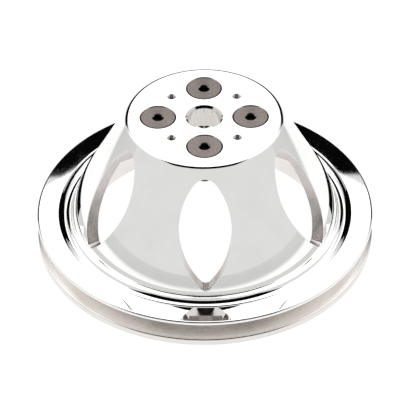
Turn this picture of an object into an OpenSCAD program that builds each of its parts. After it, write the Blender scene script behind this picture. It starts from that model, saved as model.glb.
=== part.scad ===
// Single-groove V-belt pulley for an engine's water pump or fan, turned and milled
// from one billet of aluminium, with its four flat-head socket screws.
// Origin: centre of the rear face, on the pulley's axis. +Z runs forward to the nose.

/* [Overall] */
// Height from the rear face of the rim to the nose face
total_h = 73; // [70:0.5:80]
// Outside diameter of the grooved rim
rim_d = 165.1; // [160:0.1:175]
// Diameter of the nose face, before its edge is broken
nose_d = 75.2; // [74:0.1:80]

/* [Bell] */
// Depth of the straight taper below the nose face
taper_h = 37.5; // [36:0.5:39]
// How far the straight taper grows in radius over that depth
taper_gain = 20; // [19:0.5:21]
// Radius of the arc that carries the taper down to the rim
shoulder_r = 85; // [80:1:90]
// Wall thickness, measured square to the axis
wall_t = 6; // [4.5:0.5:7]
// Depth from the nose face to the underside of the hub's outer ring
hub_t = 19.3; // [18:0.1:20]
// Thickness of the hub where the pump's flange seats, 1/2 inch
seat_t = 12.7; // [12:0.1:14]
// Diameter of the recess that takes the pump's flange
flange_recess_d = 63; // [61:0.5:64]
// Width of the polished break round the nose face
nose_break = 0.8; // [0.4:0.1:1.2]

/* [Rim] */
// Height of the grooved rim
rim_h = 14.8; // [14:0.1:16]
// Thickness of the rear lip at the outside diameter
rear_lip_t = 3.5; // [2.5:0.1:3.6]
// Radius of the front lip's rounded edge
front_lip_r = 1.1; // [0.6:0.1:1.2]
// Mouth width of the belt groove
groove_w = 9.6; // [9:0.1:10]
// Depth of the belt groove
groove_depth = 11; // [9:0.1:11.5]
// Full angle of the belt groove
groove_angle = 36; // [34:1:40]
// Break on the rear edges of the rim
edge_break = 0.6; // [0.3:0.1:1]

/* [Gutter round the bell] */
// Radius of the gutter's round section
gutter_r = 3.3; // [3:0.1:3.6]
// Depth of the gutter below the rim's front face
gutter_depth = 2.45; // [2:0.05:2.7]

/* [Windows] */
// Number of windows
windows = 6; // [3:1:6]
// Depth of a window's middle below the nose face
window_mid = 29.2; // [28:0.1:31]
// Half of a window's greatest width
window_half_w = 12.6; // [10:0.1:13]
// Radius of a window's long sides
window_side_r = 33.4; // [33:0.1:36]
// Radius of a window's front end
window_front_r = 6.6; // [4:0.1:7]
// Radius of a window's rear end
window_rear_r = 3; // [2:0.1:4]
// How near the axis the window cutter reaches
window_reach = 28; // [27.5:0.5:32]

/* [Hub holes] */
// Diameter of the pilot bore for the pump shaft, 5/8 inch
pilot_d = 15.9; // [15.88:0.01:16]
// Chamfer at both ends of the pilot bore
pilot_chamfer = 1.15; // [0.5:0.05:1.5]
// Bolt circle diameter, 1 3/4 inch
bolt_circle_d = 44.45; // [44:0.05:46]
// Clearance hole for a 5/16 inch screw
screw_hole_d = 8.4; // [8.2:0.05:8.7]
// Tapping size of the small holes, number 8 thread
small_hole_d = 3.5; // [3.4:0.05:3.6]
// Countersunk mouth of the small holes
small_mouth_d = 4.2; // [3.8:0.1:4.4]
// Depth of the small holes
small_hole_depth = 9.5; // [8:0.5:10]

/* [Screws] */
// Shank diameter, 5/16 inch
shank_d = 7.94; // [7.8:0.01:7.94]
// Head diameter
head_d = 16.5; // [16:0.05:16.66]
// Length overall, 3/4 inch
screw_len = 19.05; // [18:0.05:22]
// Included angle of the head and the countersink
sink_angle = 82; // [80:1:84]
// Width across the flats of the hexagon socket, 3/16 inch
hex_af = 4.76; // [4.6:0.01:4.8]
// Depth of the hexagon socket
hex_depth = 3; // [2.5:0.1:3.2]
// Height of the head's plain rim above its cone
head_rim = 0.25; // [0.1:0.05:0.4]
// How far the head sits below the nose face
head_drop = 0.1; // [0:0.05:0.2]
// Gap kept between the head's cone and the countersink
seat_gap = 0.05; // [0.02:0.01:0.1]

/* [Hidden] */

$fn = 96;
lathe_fn = 180;
// How far a cutting shape runs past the surface it cuts
cut = 1;
// How far the gutter's round section bites into the foot of the bell
gutter_bite = 0.05;
// How far a window's long arcs run short of the points where its round ends touch them
end_overlap = 0.2;

rim_r = rim_d / 2;
nose_r = nose_d / 2;
bolt_r = bolt_circle_d / 2;

// The straight taper ends where the shoulder arc starts, and meets it at a tangent.
taper_len = sqrt(taper_h * taper_h + taper_gain * taper_gain);
taper_end_r = nose_r + taper_gain;
taper_end_z = total_h - taper_h;
shoulder_mid_r = taper_end_r - shoulder_r * taper_h / taper_len;
shoulder_mid_z = taper_end_z - shoulder_r * taper_gain / taper_len;
// The bell ends inside the rim block, and the gutter runs round its foot.
shoulder_low_z = rim_h - 1;
gutter_mid_z = rim_h - gutter_depth + gutter_r;
gutter_rise = gutter_mid_z - shoulder_mid_z;
gutter_span = shoulder_r + gutter_r - gutter_bite;
gutter_mid_r = shoulder_mid_r + sqrt(gutter_span * gutter_span - gutter_rise * gutter_rise);

// The bore under the rim takes up where the bell's inner surface ends.
shoulder_rise = shoulder_low_z - shoulder_mid_z;
rim_bore_r = shoulder_mid_r + sqrt(shoulder_r * shoulder_r - shoulder_rise * shoulder_rise) - wall_t;

hub_low_z = total_h - hub_t;
seat_z = total_h - seat_t;
groove_narrowing = groove_depth * tan(groove_angle / 2);
groove_front_z = rear_lip_t + groove_w;

// Angle of each window about the axis, with one window facing -Y
function window_angle(i) = -90 + i * 360 / windows;

// The countersink's mouth, which leaves the seat gap all round the head's cone
sink_r = head_d / 2 + seat_gap / cos(sink_angle / 2) + (head_drop + head_rim) * tan(sink_angle / 2);

// Height of the countersink's cone, or the head's, between two radii
function cone_drop(r_top, r_low) = (r_top - r_low) / tan(sink_angle / 2);

// ---- pulley body ----

// Half section inside the bell's surface, moved inward by a given amount
module bell_half(inset) {
    union() {
        polygon([
            [0, taper_end_z],
            [taper_end_r - inset, taper_end_z],
            [nose_r - inset, total_h],
            [0, total_h]
        ]);
        intersection() {
            translate([shoulder_mid_r - inset, shoulder_mid_z])
                circle(r = shoulder_r, $fn = 720);
            translate([0, shoulder_low_z])
                square([rim_r, taper_end_z - shoulder_low_z]);
        }
    }
}

// Break round the nose face
module nose_break_cut() {
    translate([nose_r - nose_break, total_h])
        polygon([
            [0, 0],
            [2 * nose_break, 0],
            [2 * nose_break, -2 * nose_break],
            [nose_break * (1 + 0.75 * taper_gain / taper_h), -0.75 * nose_break]
        ]);
}

// Half section of the hollow behind the hub, with the recess for the pump's flange
module hollow_half() {
    difference() {
        union() {
            bell_half(wall_t);
            translate([0, -cut])
                square([rim_bore_r, shoulder_low_z + cut]);
        }
        translate([0, hub_low_z])
            square([rim_r, hub_t + cut]);
    }
    translate([0, hub_low_z - cut])
        square([flange_recess_d / 2, seat_z - hub_low_z + cut]);
    translate([0, -cut])
        polygon([
            [0, 0],
            [rim_bore_r + edge_break + cut, 0],
            [rim_bore_r, edge_break + cut],
            [0, edge_break + cut]
        ]);
}

// Rim block with its rounded front edge and its broken rear edge
module rim_half() {
    edge_z = rim_h - front_lip_r;
    union() {
        square([rim_r - edge_break, edge_z]);
        translate([0, edge_break])
            square([rim_r, edge_z - edge_break]);
        polygon([
            [rim_r - 2 * edge_break, 0],
            [rim_r - edge_break, 0],
            [rim_r, edge_break],
            [rim_r - 2 * edge_break, edge_break]
        ]);
        translate([0, edge_z - cut])
            square([rim_r - front_lip_r, front_lip_r + cut]);
        translate([rim_r - front_lip_r, edge_z])
            circle(r = front_lip_r);
    }
}

// Section of the belt groove
module groove_cut() {
    polygon([
        [rim_r + cut, rear_lip_t - cut * tan(groove_angle / 2)],
        [rim_r + cut, groove_front_z + cut * tan(groove_angle / 2)],
        [rim_r - groove_depth, groove_front_z - groove_narrowing],
        [rim_r - groove_depth, rear_lip_t + groove_narrowing]
    ]);
}

// Section of the gutter
module gutter_cut() {
    translate([gutter_mid_r, gutter_mid_z])
        circle(r = gutter_r);
}

// Full turned section of the pulley
module turned_half() {
    difference() {
        union() {
            rim_half();
            bell_half(0);
        }
        gutter_cut();
        hollow_half();
        groove_cut();
        nose_break_cut();
    }
}

// Distance from a window's middle to the centre of a round end that touches both long arcs
function end_mid(end_r) = sqrt(pow(window_side_r - end_r, 2) - pow(window_side_r - window_half_w, 2));

// Distance from a window's middle to where that end touches the arcs, less a small overlap
function end_touch(end_r) = end_mid(end_r) * window_side_r / (window_side_r - end_r) - end_overlap;

// Outline of one window: two long arcs with a round end at the front and the rear
module window_outline() {
    mid_z = total_h - window_mid;
    side_mid = window_side_r - window_half_w;
    front_touch = end_touch(window_front_r);
    rear_touch = end_touch(window_rear_r);
    union() {
        intersection() {
            translate([-side_mid, mid_z]) circle(r = window_side_r, $fn = 240);
            translate([side_mid, mid_z]) circle(r = window_side_r, $fn = 240);
            translate([-window_side_r, mid_z - rear_touch])
                square([2 * window_side_r, front_touch + rear_touch]);
        }
        translate([0, mid_z + end_mid(window_front_r)]) circle(r = window_front_r);
        translate([0, mid_z - end_mid(window_rear_r)]) circle(r = window_rear_r);
    }
}

module window_cutters() {
    for (i = [0 : windows - 1])
        rotate([0, 0, window_angle(i) + 90])
            translate([0, -window_reach, 0])
                rotate([90, 0, 0])
                    linear_extrude(height = rim_r)
                        window_outline();
}

module pilot_bore() {
    pilot_r = pilot_d / 2;
    translate([0, 0, seat_z - cut])
        cylinder(d = pilot_d, h = seat_t + 2 * cut);
    translate([0, 0, total_h - pilot_chamfer])
        cylinder(r1 = pilot_r, r2 = pilot_r + pilot_chamfer + cut, h = pilot_chamfer + cut);
    translate([0, 0, seat_z - cut])
        cylinder(r1 = pilot_r + pilot_chamfer + cut, r2 = pilot_r, h = pilot_chamfer + cut);
}

module countersunk_hole() {
    hole_r = screw_hole_d / 2;
    drop = cone_drop(sink_r, hole_r);
    translate([0, 0, seat_z - cut])
        cylinder(d = screw_hole_d, h = seat_t + 2 * cut);
    translate([0, 0, total_h - drop])
        cylinder(r1 = hole_r, r2 = sink_r, h = drop);
    translate([0, 0, total_h])
        cylinder(r = sink_r, h = cut);
}

module small_hole() {
    hole_r = small_hole_d / 2;
    mouth = small_mouth_d / 2 - hole_r;
    translate([0, 0, total_h - small_hole_depth])
        cylinder(d = small_hole_d, h = small_hole_depth + cut);
    translate([0, 0, total_h - small_hole_depth - hole_r / 2])
        cylinder(r1 = 0, r2 = hole_r, h = hole_r / 2);
    translate([0, 0, total_h - mouth])
        cylinder(r1 = hole_r, r2 = hole_r + mouth + cut, h = mouth + cut);
}

module pulley_body() {
    color("gainsboro")
        difference() {
            rotate_extrude($fn = lathe_fn)
                turned_half();
            window_cutters();
            pilot_bore();
            for (i = [0 : 3]) {
                rotate([0, 0, i * 90])
                    translate([bolt_r, 0, 0])
                        countersunk_hole();
                rotate([0, 0, 45 + i * 90])
                    translate([bolt_r, 0, 0])
                        small_hole();
            }
        }
}

// ---- screws ----

// One flat-head socket screw, with the top of its head at z = 0
module flat_head_screw() {
    head_r = head_d / 2;
    shank_r = shank_d / 2;
    drop = cone_drop(head_r, shank_r);
    tip = 0.8;
    difference() {
        union() {
            translate([0, 0, -head_rim])
                cylinder(r = head_r, h = head_rim);
            translate([0, 0, -head_rim - drop])
                cylinder(r1 = shank_r, r2 = head_r, h = drop);
            translate([0, 0, tip - screw_len])
                cylinder(r = shank_r, h = screw_len - tip - head_rim - drop + cut / 2);
            translate([0, 0, -screw_len])
                cylinder(r1 = shank_r - tip, r2 = shank_r, h = tip);
        }
        translate([0, 0, -hex_depth])
            cylinder(d = hex_af / cos(30), h = hex_depth + cut, $fn = 6);
    }
}

// A screw in its hole, at an angle about the axis. Every socket points the same way.
module screw_at(angle) {
    color("rosybrown")
        translate([bolt_r * cos(angle), bolt_r * sin(angle), total_h - head_drop])
            flat_head_screw();
}

module screw_front() { screw_at(-90); }
module screw_right() { screw_at(0); }
module screw_rear() { screw_at(90); }
module screw_left() { screw_at(180); }

pulley_body();
screw_front();
screw_right();
screw_rear();
screw_left();
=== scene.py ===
import math

import bpy
import numpy as np
from bpy.props import FloatProperty, FloatVectorProperty, PointerProperty
from mathutils import Matrix, Vector
from mathutils.geometry import delaunay_2d_cdt


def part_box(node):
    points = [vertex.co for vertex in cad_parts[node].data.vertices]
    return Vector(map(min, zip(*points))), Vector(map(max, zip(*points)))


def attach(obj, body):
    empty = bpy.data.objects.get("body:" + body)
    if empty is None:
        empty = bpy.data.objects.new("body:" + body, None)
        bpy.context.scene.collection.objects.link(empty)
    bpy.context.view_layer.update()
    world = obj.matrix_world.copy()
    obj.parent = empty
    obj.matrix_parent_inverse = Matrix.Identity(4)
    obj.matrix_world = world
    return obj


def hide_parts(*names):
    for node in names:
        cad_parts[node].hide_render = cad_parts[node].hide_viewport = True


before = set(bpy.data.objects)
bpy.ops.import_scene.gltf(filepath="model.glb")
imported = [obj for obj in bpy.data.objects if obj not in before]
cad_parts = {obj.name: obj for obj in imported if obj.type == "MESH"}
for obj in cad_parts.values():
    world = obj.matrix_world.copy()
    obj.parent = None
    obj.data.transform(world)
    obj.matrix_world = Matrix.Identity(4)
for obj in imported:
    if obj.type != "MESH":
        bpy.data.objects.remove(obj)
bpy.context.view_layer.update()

bl_info = {
    "name": "Single-groove V-belt pulley",
    "version": (1, 0, 0),
    "blender": (4, 2, 0),
    "location": "View3D > Sidebar > Pulley",
    "description": "Builds a polished billet V-belt pulley, its screws, their finishes and a plain studio",
    "category": "Object",
}

billet_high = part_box("pulley_body")[1]
SECTOR = math.radians(60)
# Half of the countersink's full angle, and of the belt groove's
SINK_LEAN = math.radians(41)
GROOVE_LEAN = math.radians(18)
# Gap between the countersink and the head's cone. The frame has 0.05, and this one reads as a thin line.
SINK_GAP = 0.3
# Points of the mesh nearer than this, in millimetres, are welded into one
WELD_GRID = 0.002
# Steps across the metal between two windows, so that a full ring has six times as many
SPAN = 30


# ---- sizes and colours a user would change ----

def length(name, millimetres, text):
    return FloatProperty(name=name, description=text, default=millimetres / 1000, min=0, unit="LENGTH")


def linear(code):
    """A linear colour from an sRGB hex code."""
    parts = [int(code[i:i + 2], 16) / 255 for i in (1, 3, 5)]
    return tuple(c / 12.92 if c <= 0.04045 else ((c + 0.055) / 1.055) ** 2.4 for c in parts)


def colour(name, code, text):
    return FloatVectorProperty(name=name, description=text, default=linear(code), size=3, min=0, max=1,
                               subtype="COLOR")


class BilletSizes(bpy.types.PropertyGroup):
    height: length("Height", billet_high.z * 1000, "Rear face to nose face")
    rim_r: length("Rim radius", billet_high.x * 1000, "Outside radius of the grooved rim")
    nose_r: length("Nose radius", 37.6, "Radius of the nose face before its edge is broken")
    taper_h: length("Taper height", 37.5, "Depth of the straight taper below the nose")
    taper_gain: length("Taper gain", 20, "Growth in radius over the straight taper")
    shoulder_r: length("Shoulder radius", 85, "Arc that carries the taper down to the rim")
    wall_t: length("Wall", 6, "Thickness of the bell, square to the axis")
    hub_t: length("Hub ring depth", 19.3, "Nose face to the underside of the hub's outer ring")
    seat_t: length("Seat depth", 12.7, "Nose face to the seat of the drive flange")
    recess_r: length("Recess radius", 31.5, "Radius of the recess for the drive flange")
    nose_break: length("Nose break", 0.8, "Width of the break round the nose face")
    rim_h: length("Rim height", 14.8, "Height of the grooved rim")
    rear_lip_t: length("Rear lip", 3.5, "Thickness of the rear lip")
    lip_r: length("Front lip rounding", 1.1, "Rounded edge of the front lip")
    groove_w: length("Groove width", 9.6, "Mouth width of the belt groove")
    groove_depth: length("Groove depth", 11, "Depth of the belt groove")
    edge_break: length("Edge break", 0.6, "Break on the rear edges of the rim")
    gutter_r: length("Gutter rounding", 3.3, "Radius of the gutter's round section")
    gutter_depth: length("Gutter depth", 2.45, "Depth of the gutter below the rim's front face")
    gutter_edge_r: length("Gutter edge", 0.5, "Rounding of the gutter's outer edge")
    window_mid: length("Window depth", 29.2, "Nose face to the middle of a window")
    window_half_w: length("Window half width", 12.6, "Half of a window's greatest width")
    window_side_r: length("Window side radius", 33.4, "Radius of a window's long sides")
    window_front_r: length("Window front end", 6.6, "Radius of a window's front end")
    window_rear_r: length("Window rear end", 3, "Radius of a window's rear end")
    window_reach: length("Window reach", 28, "How near the axis the window cutter came")
    window_break: length("Window edge break", 0.3, "Width of the polished break round a window")
    pilot_r: length("Pilot bore radius", 7.95, "Bore for the pump shaft")
    pilot_chamfer: length("Pilot chamfer", 1.15, "Chamfer at both ends of the pilot bore")
    bolt_r: length("Bolt circle radius", 22.225, "Radius of the circle of screws")
    screw_hole_r: length("Screw hole radius", 4.2, "Clearance hole for a screw")
    small_hole_r: length("Small hole radius", 1.75, "Tapping size of the small holes")
    small_hole_depth: length("Small hole depth", 9.5, "Depth of the small holes")


class ScrewSizes(bpy.types.PropertyGroup):
    shank_r: length("Shank radius", 3.97, "Outer radius of the thread")
    head_r: length("Head radius", 8.15, "Radius of the head")
    overall: length("Length", 19.05, "Overall length")
    hex_flat: length("Half across flats", 2.38, "Half the width across the socket's flats")
    hex_depth: length("Socket depth", 3, "Depth of the hexagon socket")
    head_rim: length("Head rim", 0.25, "Plain rim above the head's cone")
    head_drop: length("Head drop", 0.1, "How far the head sits below the nose face")
    pitch: length("Thread pitch", 25.4 / 24, "Distance between two threads")


class FinishColours(bpy.types.PropertyGroup):
    polished: colour("Polished billet", "#F4F4F3", "Mirror-polished aluminium")
    turned: colour("Turned billet", "#F0ECE8", "Aluminium straight from the lathe")
    satin: colour("Satin billet", "#E6E3E0", "Turned aluminium, lightly buffed")
    milled: colour("Milled billet", "#CDC8C6", "Aluminium straight from the end mill")
    steel: colour("Faced steel", "#958B87", "Bare alloy steel of the faced screw heads")
    # This black oxide colour also darkens each screw head's rim and cone below the faced top, as painted
    # shade in the countersink gap
    oxide_and_gap_shade: colour("Black oxide", "#2B2725", "Black oxide on the rest of each screw")
    floor: colour("Floor", "#727272", "Opal acrylic of the lit floor")
    felt: colour("Card", "#0C0C0C", "Black felt on the studio's two cards")


class StudioSettings(bpy.types.PropertyGroup):
    key: FloatProperty(name="Overhead panel", description="Brightness of the overhead panel", default=0.8,
                       min=0)
    tent: FloatProperty(name="Tent", description="Brightness of the white tent all round", default=0.8, min=0)
    table: FloatProperty(name="Light table", description="Brightness of the lit floor", default=0.92, min=0)
    lens: FloatProperty(name="Lens", description="Focal length in millimetres", default=272.7, min=1)


def in_millimetres(group):
    """The group's lengths by name, in millimetres."""
    return {k: getattr(group, k) * 1000 for k in group.__annotations__}


# ---- surfaces ----

class Skin:
    """Gathers patches of finished surface and welds them into one mesh that keeps their true normals."""

    def __init__(self):
        self.corners, self.normals, self.finishes = [], [], []

    def patch(self, points, normals, finish):
        """A grid of points. finish is one number, or one for each row."""
        normals = np.broadcast_to(np.asarray(normals, float), points.shape)

        def four(g):
            return np.stack([g[:-1, :-1], g[1:, :-1], g[1:, 1:], g[:-1, 1:]], 2).reshape(-1, 4, 3)

        c, n = four(points), four(normals)
        facing = np.cross(c[:, 2] - c[:, 0], c[:, 3] - c[:, 1])
        flip = (facing * n.sum(1)).sum(1) < 0
        c[flip], n[flip] = c[flip, ::-1], n[flip, ::-1]
        rows = np.broadcast_to(np.asarray(finish), (points.shape[0],))[:-1]
        self.corners.append(c)
        self.normals.append(n)
        self.finishes.append(np.repeat(rows, points.shape[1] - 1))

    def plate(self, loops, height, facing, finish, keep):
        """A flat face at one height, bounded by closed loops. keep(x, y) says where there is metal."""
        points = [Vector(q) for loop in loops for q in loop]
        edges, start = [], 0
        for loop in loops:
            edges += [(start + i, start + (i + 1) % len(loop)) for i in range(len(loop))]
            start += len(loop)
        xy, _, faces = delaunay_2d_cdt(points, edges, [], 0, 1e-6)[:3]
        solid = []
        for f in faces:
            x, y = sum(xy[i].x for i in f) / len(f), sum(xy[i].y for i in f) / len(f)
            if keep(x, y):
                solid.append([[*xy[i], height] for i in (*f, f[0])])
        c = np.array(solid)
        n = np.broadcast_to(np.array([0.0, 0.0, facing]), c.shape).copy()
        turn = np.cross(c[:, 1] - c[:, 0], c[:, 2] - c[:, 0])[:, 2] * facing < 0
        c[turn] = c[turn, ::-1]
        self.corners.append(c)
        self.normals.append(n)
        self.finishes.append(np.full(len(c), finish))

    def weld(self, name, materials):
        """One object of all the patches, in metres. materials are in the order of the finish numbers."""
        c, n = np.concatenate(self.corners), np.concatenate(self.normals)
        n = n / np.maximum(np.linalg.norm(n, axis=2, keepdims=True), 1e-9)
        grid = np.round(c.reshape(-1, 3) / WELD_GRID).astype(np.int64)
        _, index = np.unique(grid, axis=0, return_inverse=True)
        index = index.reshape(-1)
        points = np.zeros((index.max() + 1, 3))
        points[index] = c.reshape(-1, 3)
        faces, corner_normals, finishes = [], [], []
        for ids, normals, finish in zip(index.reshape(-1, 4).tolist(), n.tolist(),
                                        np.concatenate(self.finishes).tolist()):
            keep = [k for k in range(4) if ids[k] != ids[k - 1]]
            if len({ids[k] for k in keep}) == len(keep) >= 3:
                faces.append([ids[k] for k in keep])
                corner_normals += [normals[k] for k in keep]
                finishes.append(finish)
        mesh = bpy.data.meshes.new(name)
        mesh.from_pydata((points / 1000).tolist(), [], faces)
        for m in materials:
            mesh.materials.append(m)
        mesh.polygons.foreach_set("material_index", finishes)
        mesh.polygons.foreach_set("use_smooth", [True] * len(faces))
        mesh.normals_split_custom_set(corner_normals)
        mesh.update()
        piece = bpy.data.objects.new(name, mesh)
        bpy.context.scene.collection.objects.link(piece)
        return piece


def turned(r, z, lean_r, lean_z, angle, centre=(0, 0)):
    """Points and normals of a turned surface. r, z and the normal's two parts belong to rows."""
    r, z, lean_r, lean_z = (np.asarray(v, float).reshape(-1, 1) for v in (r, z, lean_r, lean_z))
    angle = np.atleast_2d(angle)
    c, s = np.cos(angle), np.sin(angle)
    one = np.ones(np.broadcast_shapes(r.shape, angle.shape))
    return (np.stack([centre[0] + r * c * one, centre[1] + r * s * one, z * one], -1),
            np.stack([lean_r * c * one, lean_r * s * one, lean_z * one], -1))


def full_turn(steps):
    """Angles all the way round from the front window, so that rings and plates share their points."""
    return np.linspace(0, 2 * math.pi, steps + 1) + math.radians(-90)


def section(corners, side=1, steps=5):
    """Rounds the corners of an open section. Each corner is (radius, height, rounding, finish after it).
    Gives radii, heights, the normal's two parts and finishes. side is 1 when metal lies right of travel."""
    at = np.array([c[:2] for c in corners], float)
    run = np.diff(at, axis=0)
    run = run / np.linalg.norm(run, axis=1, keepdims=True)
    rows = [(*at[0], run[0], corners[0][3])]
    for i in range(1, len(corners) - 1):
        a, b, rounding = run[i - 1], run[i], corners[i][2]
        bend = math.atan2(a[0] * b[1] - a[1] * b[0], a @ b)
        way = math.copysign(1, bend)
        start = at[i] - a * rounding * math.tan(abs(bend) / 2)
        middle = start + way * rounding * np.array([-a[1], a[0]])
        for k in range(steps + 1):
            t = bend * k / steps
            d = np.array([a[0] * math.cos(t) - a[1] * math.sin(t), a[0] * math.sin(t) + a[1] * math.cos(t)])
            p = middle - way * rounding * np.array([-d[1], d[0]])
            rows.append((*p, d, corners[i][3]))
    rows.append((*at[-1], run[-1], corners[-1][3]))
    r, z, finish = (np.array([row[k] for row in rows]) for k in (0, 1, 3))
    d = np.array([row[2] for row in rows])
    return r, z, -side * d[:, 1], side * d[:, 0], finish


class Bell:
    """The bell's turned surface: radius and normal at any height."""

    def __init__(self, s):
        slope = math.hypot(s["taper_h"], s["taper_gain"])
        self.s, self.lean = s, (s["taper_h"] / slope, s["taper_gain"] / slope)
        self.end_z = s["height"] - s["taper_h"]
        self.mid_r = s["nose_r"] + s["taper_gain"] - s["shoulder_r"] * self.lean[0]
        self.mid_z = self.end_z - s["shoulder_r"] * self.lean[1]
        self.low_z = s["rim_h"] - 1
        # The gutter's round section touches the foot of the bell
        self.gutter_z = s["rim_h"] - s["gutter_depth"] + s["gutter_r"]
        span = s["shoulder_r"] + s["gutter_r"]
        self.gutter_mid = self.mid_r + math.sqrt(span ** 2 - (self.gutter_z - self.mid_z) ** 2)
        self.foot_z = self.mid_z + s["shoulder_r"] * (self.gutter_z - self.mid_z) / span

    def radius(self, z):
        s = self.s
        taper = s["nose_r"] + s["taper_gain"] * (s["height"] - z) / s["taper_h"]
        arc = self.mid_r + np.sqrt(np.maximum(s["shoulder_r"] ** 2 - (z - self.mid_z) ** 2, 0))
        return np.where(z >= self.end_z, taper, arc)

    def normal(self, z):
        lift = (z - self.mid_z) / self.s["shoulder_r"]
        low = z < self.end_z
        return (np.where(low, np.sqrt(np.maximum(1 - lift ** 2, 0)), self.lean[0]),
                np.where(low, lift, self.lean[1]))


def window_edge(s, extra, heights):
    """Half of a window's outline from its front tip to its rear tip, moved outward by extra.
    Gives half widths, heights and the outline's outward direction. It has a point at each given height."""
    mid_z = s["height"] - s["window_mid"]
    side_mid = s["window_side_r"] - s["window_half_w"]
    front = math.sqrt((s["window_side_r"] - s["window_front_r"]) ** 2 - side_mid ** 2)
    rear = math.sqrt((s["window_side_r"] - s["window_rear_r"]) ** 2 - side_mid ** 2)
    front_a, rear_a = math.atan2(front, side_mid), -math.atan2(rear, side_mid)
    marks = [math.asin((h - mid_z) / s["window_side_r"]) for h in heights]
    side = np.array(sorted([*np.linspace(front_a, rear_a, 56), *marks], reverse=True))
    parts = [(0, mid_z + front, s["window_front_r"], np.linspace(math.pi / 2, front_a, 22)),
             (-side_mid, mid_z, s["window_side_r"], side[1:-1]),
             (0, mid_z - rear, s["window_rear_r"], np.linspace(rear_a, -math.pi / 2, 18))]
    w = np.concatenate([x + (r + extra) * np.cos(a) for x, z, r, a in parts])
    z = np.concatenate([z + (r + extra) * np.sin(a) for x, z, r, a in parts])
    a = np.concatenate([a for x, z, r, a in parts])
    w[0] = w[-1] = 0
    return w, z, np.cos(a), np.sin(a)


# ---- finishes ----

def add(tree, kind, values=None, **settings):
    """One node with its settings, and values or links for its sockets."""
    made = tree.nodes.new(kind)
    for key, value in settings.items():
        setattr(made, key, value)
    for socket, value in (values or {}).items():
        if isinstance(value, bpy.types.NodeSocket):
            tree.links.new(value, made.inputs[socket])
        else:
            made.inputs[socket].default_value = value
    return made


def finish(name):
    """An empty material with its output. Gives the material and its tree."""
    made = bpy.data.materials.new(name)
    made.use_nodes = True
    made.node_tree.nodes.clear()
    return made, made.node_tree


def shade(tree, tint, amount):
    """A linear colour a little darker or lighter than tint."""
    return tuple(min(1, c * amount) for c in tint) + (1,)


def polished_billet(tint):
    """Mirror-polished billet aluminium. The eye gets a hard, bright mirror with a faint buffing haze."""
    made, t = finish("polished_billet_aluminium")
    place = add(t, "ShaderNodeTexCoord").outputs["Object"]
    # Buffing leaves soft patches about 12 mm across
    haze = add(t, "ShaderNodeTexNoise", {"Vector": place, "Scale": 85.0, "Detail": 3.0}).outputs[0]
    # Fine buffing scratches, 0.4 mm apart where they show
    fine = add(t, "ShaderNodeTexNoise", {"Vector": place, "Scale": 2500.0, "Detail": 2.0}).outputs[0]
    tone = add(t, "ShaderNodeMapRange", {"Value": haze, "From Min": 0.3, "From Max": 0.7, "To Min": 0.0,
                                         "To Max": 1.0}).outputs[0]
    tinted = add(t, "ShaderNodeMix", {"Factor": tone, "A": shade(t, tint, 0.97), "B": shade(t, tint, 1.01)},
                 data_type="RGBA")
    rough = add(t, "ShaderNodeMapRange", {"Value": haze, "From Min": 0.3, "From Max": 0.7, "To Min": 0.008,
                                          "To Max": 0.025}).outputs[0]
    bump = add(t, "ShaderNodeBump", {"Height": fine, "Strength": 0.006, "Distance": 0.0001}).outputs[0]
    skin = add(t, "ShaderNodeBsdfPrincipled", {"Base Color": tinted.outputs[2], "Metallic": 1.0,
                                               "Roughness": rough, "Normal": bump})
    add(t, "ShaderNodeOutputMaterial", {"Surface": skin.outputs[0]})
    return made


def turned_billet(name, tint, low, high, mark):
    """Lathe-turned aluminium. The eye gets fine rings round the axis and a soft sheen across them.
    low and high bound its roughness, and mark says how deep the feed marks look."""
    made, t = finish(name)
    place = add(t, "ShaderNodeTexCoord").outputs["Object"]
    flat = add(t, "ShaderNodeVectorMath", {0: place, 1: (1, 1, 0)}, operation="MULTIPLY").outputs[0]
    out = add(t, "ShaderNodeVectorMath", {0: flat}, operation="LENGTH").outputs["Value"]
    height = add(t, "ShaderNodeSeparateXYZ", {0: place}).outputs["Z"]
    along = add(t, "ShaderNodeMath", {0: out, 1: height}, operation="ADD").outputs[0]
    # Feed marks: the real ones are 0.1 mm apart, drawn 0.35 mm apart so that they show
    rings = add(t, "ShaderNodeTexNoise", {"W": along, "Scale": 2900.0, "Detail": 2.0},
                noise_dimensions="1D").outputs[0]
    # Soft patches about 17 mm across
    blotch = add(t, "ShaderNodeTexNoise", {"Vector": place, "Scale": 60.0, "Detail": 2.0}).outputs[0]
    both = add(t, "ShaderNodeMath", {0: rings, 1: blotch}, operation="ADD").outputs[0]
    tone = add(t, "ShaderNodeMapRange", {"Value": both, "From Min": 0.7, "From Max": 1.3}).outputs[0]
    tinted = add(t, "ShaderNodeMix", {"Factor": tone, "A": shade(t, tint, 1 - 0.3 * mark),
                                      "B": shade(t, tint, 1.04)}, data_type="RGBA")
    rough = add(t, "ShaderNodeMapRange", {"Value": blotch, "From Min": 0.3, "From Max": 0.7, "To Min": low,
                                          "To Max": high}).outputs[0]
    bump = add(t, "ShaderNodeBump", {"Height": rings, "Strength": 0.6 * mark, "Distance": 0.0001}).outputs[0]
    way = add(t, "ShaderNodeTangent", direction_type="RADIAL", axis="Z").outputs[0]
    skin = add(t, "ShaderNodeBsdfPrincipled", {"Base Color": tinted.outputs[2], "Metallic": 1.0,
                                               "Roughness": rough, "Anisotropic": 0.4, "Normal": bump,
                                               "Tangent": way})
    add(t, "ShaderNodeOutputMaterial", {"Surface": skin.outputs[0]})
    return made


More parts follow.
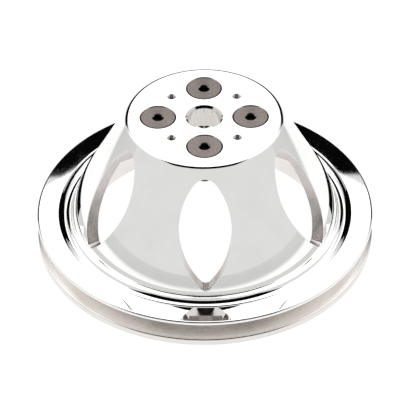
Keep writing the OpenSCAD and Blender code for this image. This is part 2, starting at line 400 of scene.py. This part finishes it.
def milled_billet(tint):
    """End-milled aluminium. The eye gets a satin wall, mottled by the cutter, with soft streaks down it."""
    made, t = finish("milled_billet_aluminium")
    place = add(t, "ShaderNodeTexCoord").outputs["Object"]
    flat = add(t, "ShaderNodeVectorMath", {0: place, 1: (1, 1, 0.1)}, operation="MULTIPLY").outputs[0]
    # Cutter marks, about 1 mm across
    marks = add(t, "ShaderNodeTexNoise", {"Vector": place, "Scale": 900.0, "Detail": 3.0}).outputs[0]
    # Soft streaks, 4.5 mm wide and ten times as tall
    streak = add(t, "ShaderNodeTexNoise", {"Vector": flat, "Scale": 220.0, "Detail": 3.0}).outputs[0]
    both = add(t, "ShaderNodeMath", {0: marks, 1: streak}, operation="ADD").outputs[0]
    tone = add(t, "ShaderNodeMapRange", {"Value": both, "From Min": 0.7, "From Max": 1.3}).outputs[0]
    tinted = add(t, "ShaderNodeMix", {"Factor": tone, "A": shade(t, tint, 0.85), "B": shade(t, tint, 1.05)},
                 data_type="RGBA")
    rough = add(t, "ShaderNodeMapRange", {"Value": streak, "From Min": 0.3, "From Max": 0.7, "To Min": 0.14,
                                          "To Max": 0.26}).outputs[0]
    bump = add(t, "ShaderNodeBump", {"Height": marks, "Strength": 0.12, "Distance": 0.0001}).outputs[0]
    skin = add(t, "ShaderNodeBsdfPrincipled", {"Base Color": tinted.outputs[2], "Metallic": 1.0,
                                               "Roughness": rough, "Normal": bump})
    add(t, "ShaderNodeOutputMaterial", {"Surface": skin.outputs[0]})
    return made


def faced_steel(tint):
    """Bare alloy steel, faced on a lathe. The eye gets a warm grey sheen that swings over fine rings."""
    made, t = finish("faced_alloy_steel")
    place = add(t, "ShaderNodeTexCoord").outputs["Object"]
    flat = add(t, "ShaderNodeVectorMath", {0: place, 1: (1, 1, 0)}, operation="MULTIPLY").outputs[0]
    out = add(t, "ShaderNodeVectorMath", {0: flat}, operation="LENGTH").outputs["Value"]
    # Facing marks, 0.3 mm apart
    rings = add(t, "ShaderNodeTexNoise", {"W": out, "Scale": 3300.0, "Detail": 2.0},
                noise_dimensions="1D").outputs[0]
    # Handling marks, under a millimetre across
    blotch = add(t, "ShaderNodeTexNoise", {"Vector": place, "Scale": 1100.0, "Detail": 4.0}).outputs[0]
    both = add(t, "ShaderNodeMath", {0: rings, 1: blotch}, operation="ADD").outputs[0]
    tone = add(t, "ShaderNodeMapRange", {"Value": both, "From Min": 0.75, "From Max": 1.25}).outputs[0]
    tinted = add(t, "ShaderNodeMix", {"Factor": tone, "A": shade(t, tint, 0.72), "B": shade(t, tint, 1.3)},
                 data_type="RGBA")
    rough = add(t, "ShaderNodeMapRange", {"Value": blotch, "From Min": 0.3, "From Max": 0.7, "To Min": 0.25,
                                          "To Max": 0.4}).outputs[0]
    bump = add(t, "ShaderNodeBump", {"Height": rings, "Strength": 0.25, "Distance": 0.0001}).outputs[0]
    way = add(t, "ShaderNodeTangent", direction_type="RADIAL", axis="Z").outputs[0]
    skin = add(t, "ShaderNodeBsdfPrincipled", {"Base Color": tinted.outputs[2], "Metallic": 1.0,
                                               "Roughness": rough, "Anisotropic": 0.6, "Normal": bump,
                                               "Tangent": way})
    add(t, "ShaderNodeOutputMaterial", {"Surface": skin.outputs[0]})
    return made


def black_oxide_and_gap_shade(tint):
    """Black oxide on steel. On each head's rim and cone it also stands in as painted shade in the countersink
    gap. The eye gets near-black metal with a dull, slightly brown sheen.
    """
    made, t = finish("black_oxide_steel_and_gap_shade")
    place = add(t, "ShaderNodeTexCoord").outputs["Object"]
    # The coat wears in patches about 2 mm across
    worn = add(t, "ShaderNodeTexNoise", {"Vector": place, "Scale": 500.0, "Detail": 4.0}).outputs[0]
    tinted = add(t, "ShaderNodeMix", {"Factor": worn, "A": shade(t, tint, 0.5), "B": shade(t, tint, 1.6)},
                 data_type="RGBA")
    rough = add(t, "ShaderNodeMapRange", {"Value": worn, "To Min": 0.5, "To Max": 0.3}).outputs[0]
    bump = add(t, "ShaderNodeBump", {"Height": worn, "Strength": 0.1, "Distance": 0.0001}).outputs[0]
    skin = add(t, "ShaderNodeBsdfPrincipled", {"Base Color": tinted.outputs[2], "Metallic": 1.0,
                                               "Roughness": rough, "Normal": bump})
    add(t, "ShaderNodeOutputMaterial", {"Surface": skin.outputs[0]})
    return made


def opal_table(tint, glow):
    """Opal acrylic over lamps. The eye gets a plain white ground that stays white under the bell."""
    made, t = finish("lit_opal_acrylic")
    place = add(t, "ShaderNodeTexCoord").outputs["Object"]
    # Faint clouds about 33 mm across
    mottle = add(t, "ShaderNodeTexNoise", {"Vector": place, "Scale": 30.0, "Detail": 3.0}).outputs[0]
    tinted = add(t, "ShaderNodeMix", {"Factor": mottle, "A": shade(t, tint, 0.97), "B": shade(t, tint, 1.0)},
                 data_type="RGBA")
    # The lamps stand under and behind the pulley, and their light is spent a quarter of a metre out
    shifted = add(t, "ShaderNodeVectorMath", {0: place, 1: (0, 0.05, 0)}, operation="SUBTRACT").outputs[0]
    out = add(t, "ShaderNodeVectorMath", {0: shifted}, operation="LENGTH").outputs["Value"]
    lit = add(t, "ShaderNodeMapRange", {"Value": out, "From Min": 0.2, "From Max": 0.26, "To Min": glow,
                                        "To Max": 0.52 * glow}, interpolation_type="SMOOTHSTEP").outputs[0]
    skin = add(t, "ShaderNodeBsdfPrincipled", {"Base Color": tinted.outputs[2], "Roughness": 0.6,
                                               "Emission Color": (1, 1, 1, 1), "Emission Strength": lit})
    add(t, "ShaderNodeOutputMaterial", {"Surface": skin.outputs[0]})
    return made


def black_felt(tint):
    """Black felt. The eye sees it only mirrored, as the black bands that give polished metal its edges."""
    made, t = finish("black_felt")
    place = add(t, "ShaderNodeTexCoord").outputs["Object"]
    # Tufts about 2.5 mm across
    fibre = add(t, "ShaderNodeTexNoise", {"Vector": place, "Scale": 400.0, "Detail": 3.0}).outputs[0]
    tinted = add(t, "ShaderNodeMix", {"Factor": fibre, "A": shade(t, tint, 0.6), "B": shade(t, tint, 1.0)},
                 data_type="RGBA")
    skin = add(t, "ShaderNodeBsdfPrincipled", {"Base Color": tinted.outputs[2], "Roughness": 1.0,
                                               "Specular IOR Level": 0.0})
    add(t, "ShaderNodeOutputMaterial", {"Surface": skin.outputs[0]})
    return made


# ---- pulley body ----

POLISHED, TURNED, MILLED, SATIN, INSIDE = 0, 1, 2, 3, 4


def bell_and_windows(skin, s):
    """The bell inside and out, its window walls, and the pockets the windows leave in the hub."""
    bell, wall, edge = Bell(s), s["wall_t"], s["window_break"]
    hub_z, seat_z = s["height"] - s["hub_t"], s["height"] - s["seat_t"]
    w0, z0, nw, nz = window_edge(s, 0, (seat_z, hub_z))
    w1, z1 = window_edge(s, edge, (seat_z, hub_z))[:2]
    share = np.linspace(0, 1, SPAN + 1)

    def between(radius, half_width, first):
        side = np.arcsin(np.minimum(half_width / radius, 1)).reshape(-1, 1)
        return first + side + (SECTOR - 2 * side) * share

    low = z0 <= hub_z + 1e-6
    pocket = (z0 >= hub_z - 1e-6) & (z0 <= seat_z + 1e-6)
    deep = z0 >= seat_z - 1e-6
    hub_edge = float(w0[np.argmin(abs(z0 - hub_z))])
    ledge = np.linspace(s["recess_r"], float(bell.radius(np.array(hub_z))) - wall, 6)
    for k in range(6):
        first = math.radians(-90) + k * SECTOR
        out = np.array([math.cos(first), math.sin(first), 0])
        across = np.array([-math.sin(first), math.cos(first), 0])
        up = np.array([0, 0, 1.0])
        r = bell.radius(z1)
        skin.patch(*turned(r, z1, *bell.normal(z1), between(r, w1, first)), POLISHED)
        r, (nr, nh) = bell.radius(z0[low]) - wall, bell.normal(z0[low])
        skin.patch(*turned(r, z0[low], -nr, -nh, between(r, w0[low], first)), INSIDE)
        skin.patch(*turned(ledge, 0 * ledge + hub_z, 0 * ledge, 0 * ledge - 1,
                           between(ledge, 0 * ledge + hub_edge, first)), TURNED)
        r = 0 * z0[pocket] + s["recess_r"]
        skin.patch(*turned(r, z0[pocket], 0 * r - 1, 0 * r, between(r, w0[pocket], first)), TURNED)

        def point(depth, side, z):
            return (depth[..., None] * out + side[..., None] * across + z[..., None] * up)

        for way in (1, -1):
            flank = -way * nw[:, None] * across - nz[:, None] * up
            nr, nh = bell.normal(z1)
            deep1 = np.sqrt(bell.radius(z1) ** 2 - w1 ** 2)
            a1 = np.arcsin(np.minimum(w1 / bell.radius(z1), 1)) * way
            face = (np.cos(a1) * nr)[:, None] * out + (np.sin(a1) * nr)[:, None] * across + nh[:, None] * up
            deep0 = np.sqrt(bell.radius(z0) ** 2 - w0 ** 2) - edge
            p1, p0 = point(deep1, way * w1, z1), point(deep0, way * w0, z0)
            mean = face + flank
            mean /= np.linalg.norm(mean, axis=1, keepdims=True)
            skin.patch(np.stack([p1, (p0 + p1) / 2 + 0.2 * edge * mean, p0], 1),
                       np.stack([face, mean, flank], 1), POLISHED)
            for zone, reach in ((low, np.sqrt(np.maximum((bell.radius(z0) - wall) ** 2 - w0 ** 2, 0))),
                                (pocket, np.sqrt(s["recess_r"] ** 2 - w0 ** 2)),
                                (deep, 0 * z0 + s["window_reach"])):
                steps = np.linspace(0, 1, 7)
                depth = deep0[zone, None] + (reach - deep0)[zone, None] * steps
                side = way * w0[zone, None] + 0 * steps
                skin.patch(point(depth, side, z0[zone, None] + 0 * steps),
                           flank[zone][:, None, :] + 0 * depth[..., None], MILLED)
        side = w0[deep, None] * np.linspace(-1, 1, 9)
        skin.patch(point(0 * side + s["window_reach"], side, z0[deep, None] + 0 * side), out, MILLED)

    # Full rings above and below the windows
    ring = full_turn(6 * SPAN)
    top, low_z = s["height"], bell.low_z
    inner_edge = s["nose_r"] - s["nose_break"]
    skin.patch(*turned(*(rows := section([
        (inner_edge - 0.5, top, 0, POLISHED), (s["nose_r"], top, 2.5 * s["nose_break"], POLISHED),
        (float(bell.radius(z1[0])), float(z1[0]), 0, POLISHED)]))[:4], ring), rows[4])
    z = np.linspace(z1[-1], bell.foot_z, 10)
    skin.patch(*turned(bell.radius(z), z, *bell.normal(z), ring), POLISHED)
    z = np.linspace(z0[-1], low_z, 8)
    nr, nh = bell.normal(z)
    skin.patch(*turned(bell.radius(z) - wall, z, -nr, -nh, ring), INSIDE)


def rim_and_gutter(skin, s):
    """The gutter round the bell, the polished lip, the belt groove, the rear face and the bore."""
    bell, rim, top = Bell(s), s["rim_r"], s["rim_h"]
    ring = full_turn(6 * SPAN)
    narrowing = s["groove_depth"] * math.tan(GROOVE_LEAN)
    mouth, root = s["rear_lip_t"] + s["groove_w"], rim - s["groove_depth"]
    bore = float(bell.radius(np.array(bell.low_z))) - s["wall_t"]
    e, round_r, gutter = s["edge_break"], s["gutter_edge_r"], s["gutter_r"]
    # The gutter runs from the foot of the bell, round its bottom and up to its outer edge
    edge_z = top - round_r
    edge_r = bell.gutter_mid + math.sqrt((gutter + round_r) ** 2 - (bell.gutter_z - edge_z) ** 2)
    inner = math.atan2(bell.mid_z - bell.gutter_z, bell.mid_r - bell.gutter_mid)
    outer = math.atan2(edge_z - bell.gutter_z, edge_r - bell.gutter_mid)
    a = np.linspace(inner, outer, 28)
    skin.patch(*turned(bell.gutter_mid + gutter * np.cos(a), bell.gutter_z + gutter * np.sin(a),
                       -np.cos(a), -np.sin(a), ring), POLISHED)
    a = np.linspace(outer + math.pi, math.pi / 2, 10)
    skin.patch(*turned(edge_r + round_r * np.cos(a), edge_z + round_r * np.sin(a),
                       np.cos(a), np.sin(a), ring), POLISHED)
    r, z, nr, nz, kind = section([
        (edge_r, top, 0, POLISHED), (rim, top, s["lip_r"], POLISHED),
        (rim, mouth, 0.3, TURNED), (root, mouth - narrowing, 0.3, TURNED),
        (root, s["rear_lip_t"] + narrowing, 0.3, TURNED), (rim, s["rear_lip_t"], 0.9, SATIN),
        (rim, e, 0.3, SATIN), (rim - e, 0, 0.1, TURNED), (bore + e, 0, 0.1, TURNED),
        (bore, e, 0.1, TURNED), (bore, bell.low_z, 0, TURNED)], steps=8)
    skin.patch(*turned(r, z, nr, nz, full_turn(6 * SPAN)), kind)


def circle(radius, steps, centre=(0, 0), first=0.0):
    a = np.arange(steps) * 2 * math.pi / steps + first
    return list(zip(centre[0] + radius * np.cos(a), centre[1] + radius * np.sin(a)))


def hub_faces(skin, s, screw):
    """The nose face, the flange seat, and every hole between them."""
    top, seat_z = s["height"], s["height"] - s["seat_t"]
    cone_start = screw["head_drop"] + screw["head_rim"]
    sink = screw["head_r"] + SINK_GAP / math.cos(SINK_LEAN) + cone_start * math.tan(SINK_LEAN)
    drop = (sink - s["screw_hole_r"]) / math.tan(SINK_LEAN)
    p, c, h = s["pilot_r"], s["pilot_chamfer"], s["screw_hole_r"]
    eighths = [k * math.pi / 4 for k in range(8)]
    spots = [(s["bolt_r"] * math.cos(a), s["bolt_r"] * math.sin(a)) for a in eighths]

    def hole(corners, centre, steps=5, around=96):
        r, z, nr, nz, kind = section(corners, side=-1, steps=steps)
        skin.patch(*turned(r, z, nr, nz, full_turn(around), centre), kind)

    hole([(p + c + 0.2, top, 0, POLISHED), (p + c, top, 0.12, SATIN), (p, top - c, 0.2, SATIN),
          (p, seat_z + c, 0.2, SATIN), (p + c, seat_z, 0.06, TURNED), (p + c + 0.2, seat_z, 0, TURNED)],
         (0, 0))
    # The small holes are threaded 32 to the inch
    small, pitch = s["small_hole_r"], 0.794
    threads = []
    for k in range(int((s["small_hole_depth"] - 1.2) / pitch)):
        z = top - 0.45 - k * pitch
        threads += [(small, z, 0.02, TURNED), (small, z - 0.12, 0.02, TURNED),
                    (small + 0.3, z - pitch / 2, 0.02, TURNED), (small, z - pitch + 0.05, 0.02, TURNED)]
    for k, spot in enumerate(spots):
        if k % 2 == 0:
            hole([(sink + 0.15, top, 0, POLISHED), (sink, top, 0.06, TURNED), (h, top - drop, 0.2, TURNED),
                  (h, seat_z + 0.2, 0.1, TURNED), (h + 0.2, seat_z, 0.05, TURNED),
                  (h + 0.4, seat_z, 0, TURNED)], spot)
        else:
            end = top - s["small_hole_depth"]
            hole([(small + 0.45, top, 0, POLISHED), (small + 0.35, top, 0.1, SATIN), *threads,
                  (small, end, 0.1, TURNED), (0.01, end - small / 2, 0, TURNED)], spot, 2, 36)

    def clear(x, y, around_screw, around_small, around_pilot):
        gaps = [math.hypot(x - sx, y - sy) > (around_screw if k % 2 == 0 else around_small)
                for k, (sx, sy) in enumerate(spots)]
        return all(gaps) and math.hypot(x, y) > around_pilot

    edge = s["nose_r"] - s["nose_break"] - 0.5
    down = math.radians(-90)
    loops = [circle(edge, 6 * SPAN, first=down), circle(p + c + 0.2, 96, first=down)]
    loops += [circle(sink + 0.15 if k % 2 == 0 else small + 0.45, 96 if k % 2 == 0 else 36, spot)
              for k, spot in enumerate(spots)]
    skin.plate(loops, top, 1, POLISHED,
               lambda x, y: math.hypot(x, y) < edge and clear(x, y, sink + 0.14, small + 0.44, p + c + 0.19))

    w, z = window_edge(s, 0, (seat_z, s["height"] - s["hub_t"]))[:2]
    half = float(w[np.argmin(abs(z - seat_z))])
    recess, reach = s["recess_r"], s["window_reach"]
    outer = []
    share = np.linspace(0, 1, SPAN + 1)
    for k in range(6):
        first = down + k * SECTOR
        swing = math.asin(half / recess)
        ahead = np.array([math.cos(first), math.sin(first)])
        beside = np.array([-math.sin(first), math.cos(first)])
        outer += [tuple(reach * ahead + t * half * beside) for t in np.linspace(-1, 1, 9)]
        outer += [(recess * math.cos(a), recess * math.sin(a))
                  for a in first + swing + (SECTOR - 2 * swing) * share]

    def seat(x, y):
        if math.hypot(x, y) > recess or not clear(x, y, h + 0.39, 0, p + c + 0.19):
            return False
        for k in range(6):
            first = down + k * SECTOR
            if (x * math.cos(first) + y * math.sin(first) > reach
                    and abs(y * math.cos(first) - x * math.sin(first)) < half):
                return False
        return True

    loops = [outer, circle(p + c + 0.2, 96, first=down)]
    loops += [circle(h + 0.4, 96, spots[k], down) for k in (0, 2, 4, 6)]
    skin.plate(loops, seat_z, -1, TURNED, seat)


class PULLEY_OT_body(bpy.types.Operator):
    """Build the pulley body: hub, windowed bell and grooved rim, cut from one billet"""
    bl_idname = "pulley.body"
    bl_label = "Pulley body"

    def execute(self, context):
        s = in_millimetres(context.scene.pulley_billet)
        colours = context.scene.pulley_colours
        skin = Skin()
        bell_and_windows(skin, s)
        rim_and_gutter(skin, s)
        hub_faces(skin, s, in_millimetres(context.scene.pulley_screw))
        piece = skin.weld("billet_body", [
            polished_billet(tuple(colours.polished)),
            turned_billet("turned_billet_aluminium", tuple(colours.turned), 0.2, 0.32, 0.4),
            milled_billet(tuple(colours.milled)),
            turned_billet("satin_billet_aluminium", tuple(colours.satin), 0.1, 0.16, 0.15),
            turned_billet("bright_turned_aluminium", tuple(colours.polished), 0.12, 0.2, 0.15)])
        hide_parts("pulley_body")
        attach(piece, "pulley")
        return {"FINISHED"}


# ---- screws ----

def screw_skin(s):
    """One flat-head socket screw with the top of its head at the origin."""
    skin = Skin()
    head, shank, rim, end = s["head_r"], s["shank_r"], s["head_rim"], -s["overall"]
    mouth, flat, depth = s["hex_flat"] / math.cos(math.radians(30)) + 0.2, s["hex_flat"], -s["hex_depth"]
    drop = (head - shank) / math.tan(SINK_LEAN)
    # A unified thread is 0.6134 of its pitch deep
    pitch, root = s["pitch"], shank - 0.6134 * s["pitch"]
    turn = np.linspace(0, 2 * math.pi, 97)
    start, stop = -rim - drop - 0.3, end + 0.8
    # The faced top is steel (finish 0). The head's rim and cone take the black oxide (finish 1), which also
    # stands in as painted shade in the countersink gap
    skin.patch(*turned(*(rows := section([
        (mouth, 0, 0, 0), (head, 0, 0.06, 1), (head, -rim, 0.08, 1), (shank - 0.1, -rim - drop, 0.4, 1),
        (shank - 0.1, start - 0.4, 0.1, 1), (root, start - 0.9, 0, 1)]))[:4], turn), rows[4])
    # Socket: a chamfer that runs out on the flats, six flat walls and a drilled bottom
    for k in range(6):
        a = np.radians(np.linspace(0, 60, 17) + 60 * k)
        reach = flat / np.cos(a - math.radians(30 + 60 * k))
        c, n = np.cos(a), np.sin(a)
        rings = [np.stack([r * c, r * n, z + 0 * a], -1) for r, z in
                 ((mouth, 0), (reach, reach - mouth), (reach, depth), (0.01 * reach, depth - 0.7))]
        skin.patch(np.stack(rings[:2]), np.stack([-c, -n, 1 + 0 * a], -1)[None], 0)
        m = math.radians(30 + 60 * k)
        skin.patch(np.stack(rings[1:3]), np.array([-math.cos(m), -math.sin(m), 0]), 1)
        skin.patch(np.stack(rings[2:]), np.stack([-0.3 * c, -0.3 * n, 1 + 0 * a], -1)[None], 1)
    # Thread: 24 to the inch, cut as a helix that runs out at the neck and at the tip
    shape = [(0.0, shank), (0.12, shank), (0.5, root), (0.62, root)]
    turns = int((start - stop) / pitch) + 2
    a = np.linspace(0, 2 * math.pi, 49)
    rows, leans = [], []
    for k in range(-1, turns):
        for i, (f, r) in enumerate(shape):
            z = start - pitch * (k + f + a / (2 * math.pi))
            inside = np.clip(np.minimum(start - 0.9 - z, z - end + 0.3) / 0.8, 0, 1)
            z = np.clip(z, end, start - 0.9)
            tip = shank - 0.8 + np.clip(z - end, 0, 0.8)
            radius = np.minimum(root - 0.05 + (r - root + 0.05) * inside, tip)
            rows.append(np.stack([radius * np.cos(a), radius * np.sin(a), z], -1))
            tilt = (0.0, -0.7, -0.7, 0.7)[i]
            leans.append(np.stack([np.cos(a), np.sin(a), tilt + 0 * a], -1))
    skin.patch(np.stack(rows), np.stack(leans), 1)
    skin.patch(*turned([shank - 0.8, 0.01], [end, end], [0, 0], [-1, -1], turn), 1)
    return skin


class PULLEY_OT_screws(bpy.types.Operator):
    """Build the four flat-head socket screws, each on its own axis"""
    bl_idname = "pulley.screws"
    bl_label = "Screws"

    def execute(self, context):
        s = in_millimetres(context.scene.pulley_screw)
        billet = context.scene.pulley_billet
        colours = context.scene.pulley_colours
        finishes = [faced_steel(tuple(colours.steel)), black_oxide_and_gap_shade(tuple(colours.oxide_and_gap_shade))]
        skin = screw_skin(s)
        for k, place in enumerate(("right", "rear", "left", "front")):
            piece = skin.weld(f"{place}_flat_head_screw", finishes)
            a = math.radians(90 * k)
            piece.location = (billet.bolt_r * math.cos(a), billet.bolt_r * math.sin(a),
                              billet.height - s["head_drop"] / 1000)
            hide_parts(f"screw_{place}")
            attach(piece, f"{place}_screw")
        return {"FINISHED"}


# ---- studio ----

def panel(name, low, high, width, brightness):
    """A soft panel between two edges, each (y, z) at the middle, that shines at the pulley."""
    low, high = Vector((0, *low)), Vector((0, *high))
    light = bpy.data.lights.new(name, "AREA")
    light.shape, light.size, light.size_y = "RECTANGLE", width, (high - low).length
    light.energy = brightness * math.pi * width * (high - low).length
    rise = (high - low).normalized()
    away = rise.cross(Vector((1, 0, 0)))
    across = rise.cross(away)
    holder = bpy.data.objects.new(name, light)
    bpy.context.scene.collection.objects.link(holder)
    turn = Matrix((across, rise, away)).transposed()
    holder.matrix_world = Matrix.Translation((low + high) / 2) @ turn.to_4x4()
    holder.visible_camera = False
    return holder


def card(name, corners, material):
    """A flat card of the studio, hidden from the camera."""
    mesh = bpy.data.meshes.new(name)
    mesh.from_pydata(corners, [], [tuple(range(len(corners)))])
    mesh.materials.append(material)
    made = bpy.data.objects.new(name, mesh)
    bpy.context.scene.collection.objects.link(made)
    made.visible_camera = False
    return made


class PULLEY_OT_studio(bpy.types.Operator):
    """Lay a pale floor, hang a soft panel and black cards, and place the camera"""
    bl_idname = "pulley.studio"
    bl_label = "Studio"

    def execute(self, context):
        settings = context.scene.pulley_studio
        mesh = bpy.data.meshes.new("floor")
        mesh.from_pydata([(-4, -4, 0), (4, -4, 0), (4, 4, 0), (-4, 4, 0)], [], [(0, 1, 2, 3)])
        mesh.materials.append(opal_table(tuple(context.scene.pulley_colours.floor), settings.table))
        floor = bpy.data.objects.new("floor", mesh)
        context.scene.collection.objects.link(floor)
        floor.location.z = -0.0002
        world = bpy.data.worlds.new("studio")
        world.use_nodes = True
        world.node_tree.nodes["Background"].inputs["Color"].default_value = (settings.tent,) * 3 + (1,)
        context.scene.world = world
        # The overhead panel's rear edge is low behind the pulley, so the nose face mirrors it all over.
        # Cards and panel are in metres from the pulley's origin.
        panel("overhead_panel", (1.0, 0.812), (-0.3, 1.9), 3.6, settings.key)
        felt = black_felt(tuple(context.scene.pulley_colours.felt))
        # The camera card stands over the camera, and blackens the front of the gutter.
        # The rear card's top dips in the middle, so only the middle of the rim mirrors the panel
        card("rear_card", [(-1.1, 0.99, 0), (1.1, 0.99, 0), (1.1, 0.99, 1.53), (0.1, 0.99, 0.8),
                           (-0.1, 0.99, 0.8), (-1.1, 0.99, 1.53)], felt)
        card("camera_card", [(-1.08, -1.25, 0.684), (1.08, -1.25, 0.684), (1.08, -0.17, 1.5),
                             (-1.08, -0.17, 1.5)], felt)
        context.scene.view_settings.view_transform = "Standard"

        data = bpy.data.cameras.new("camera")
        data.lens, data.sensor_width = settings.lens, 36
        data.clip_end = 50
        camera = bpy.data.objects.new("camera", data)
        context.scene.collection.objects.link(camera)
        pitch, roll = math.radians(40.33), math.radians(0.47)
        ahead = Vector((0, math.cos(pitch), -math.sin(pitch)))
        right, up = Vector((1, 0, 0)), Vector((0, math.sin(pitch), math.cos(pitch)))
        nose = Vector((0, 0, context.scene.pulley_billet.height))
        # The camera stands off, left of and below the nose, in metres along its own axes
        away, aside, below = 1.453, 0.00236, 0.03987
        place = nose - ahead * away - right * aside - up * below
        across = right * math.cos(roll) - up * math.sin(roll)
        above = up * math.cos(roll) + right * math.sin(roll)
        turn = Matrix((across, above, -ahead)).transposed()
        camera.matrix_world = Matrix.Translation(place) @ turn.to_4x4()
        context.scene.camera = camera
        return {"FINISHED"}


class PULLEY_PT_tools(bpy.types.Panel):
    bl_label = "Pulley"
    bl_idname = "PULLEY_PT_tools"
    bl_space_type = "VIEW_3D"
    bl_region_type = "UI"
    bl_category = "Pulley"

    def draw(self, context):
        scene = context.scene
        for kind in (PULLEY_OT_body, PULLEY_OT_screws, PULLEY_OT_studio):
            self.layout.operator(kind.bl_idname)
        for group in (scene.pulley_billet, scene.pulley_screw, scene.pulley_colours, scene.pulley_studio):
            box = self.layout.box()
            for name in group.__annotations__:
                box.prop(group, name)


GROUPS = {"pulley_billet": BilletSizes, "pulley_screw": ScrewSizes, "pulley_colours": FinishColours,
          "pulley_studio": StudioSettings}
TOOLS = (PULLEY_OT_body, PULLEY_OT_screws, PULLEY_OT_studio, PULLEY_PT_tools)


def register():
    for kind in (*GROUPS.values(), *TOOLS):
        bpy.utils.register_class(kind)
    for name, kind in GROUPS.items():
        setattr(bpy.types.Scene, name, PointerProperty(type=kind))


def unregister():
    for name in GROUPS:
        delattr(bpy.types.Scene, name)
    for kind in (*TOOLS[::-1], *GROUPS.values()):
        bpy.utils.unregister_class(kind)


def main():
    register()
    bpy.ops.pulley.body()
    bpy.ops.pulley.screws()
    bpy.ops.pulley.studio()
    bpy.context.view_layer.update()


if __name__ == "__main__":
    main()
